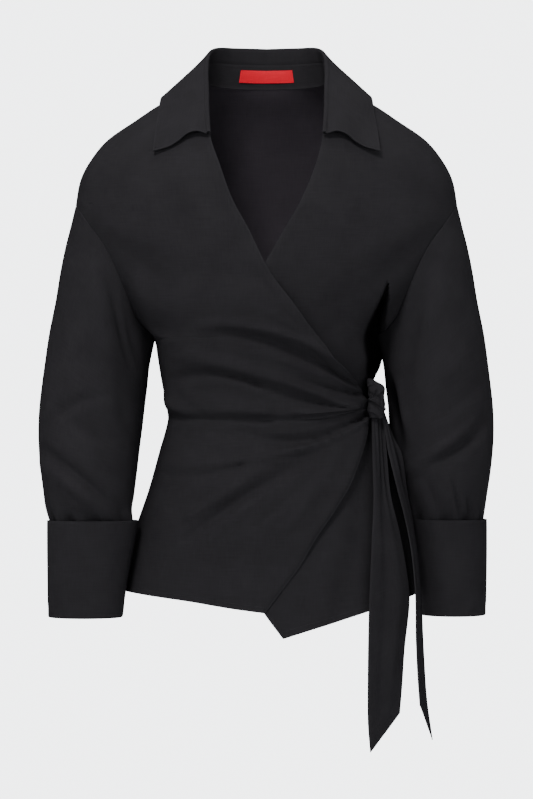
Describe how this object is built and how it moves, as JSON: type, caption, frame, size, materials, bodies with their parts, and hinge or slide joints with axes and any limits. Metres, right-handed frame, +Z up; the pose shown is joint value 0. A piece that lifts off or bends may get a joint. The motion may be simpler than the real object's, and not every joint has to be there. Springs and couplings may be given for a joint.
{
  "type": "wrap top",
  "caption": "Black wrap top with an open collar, full sleeves, deep turned-back cuffs and a side tie, hollow as worn",
  "frame": {"origin": "midway between the shoulders inside the top, level with where the collar crosses them", "axes": "+Z up, -Y the way the wearer faces, +X towards the wearer's left and the tie"},
  "size_m": [0.5674, 0.2392, 0.8759],
  "materials": {
    "cloth": "matt black cotton poplin, plain weave",
    "label": "woven satin, bare"
  },
  "bodies": {
    "root": {"back_bodice": "cloth", "front_bodice_right": "cloth", "front_bodice_left": "cloth", "back_skirt": "cloth", "front_skirt_right": "cloth", "front_skirt_left": "cloth", "sleeve_right": "cloth", "sleeve_left": "cloth", "cuff_right": "cloth", "cuff_left": "cloth", "collar_stand": "cloth", "collar_fall": "cloth", "neck_label": "label", "tie_knot": "cloth", "tie_tail_front": "cloth", "tie_tail_back": "cloth"}
  },
  "joints": []
}
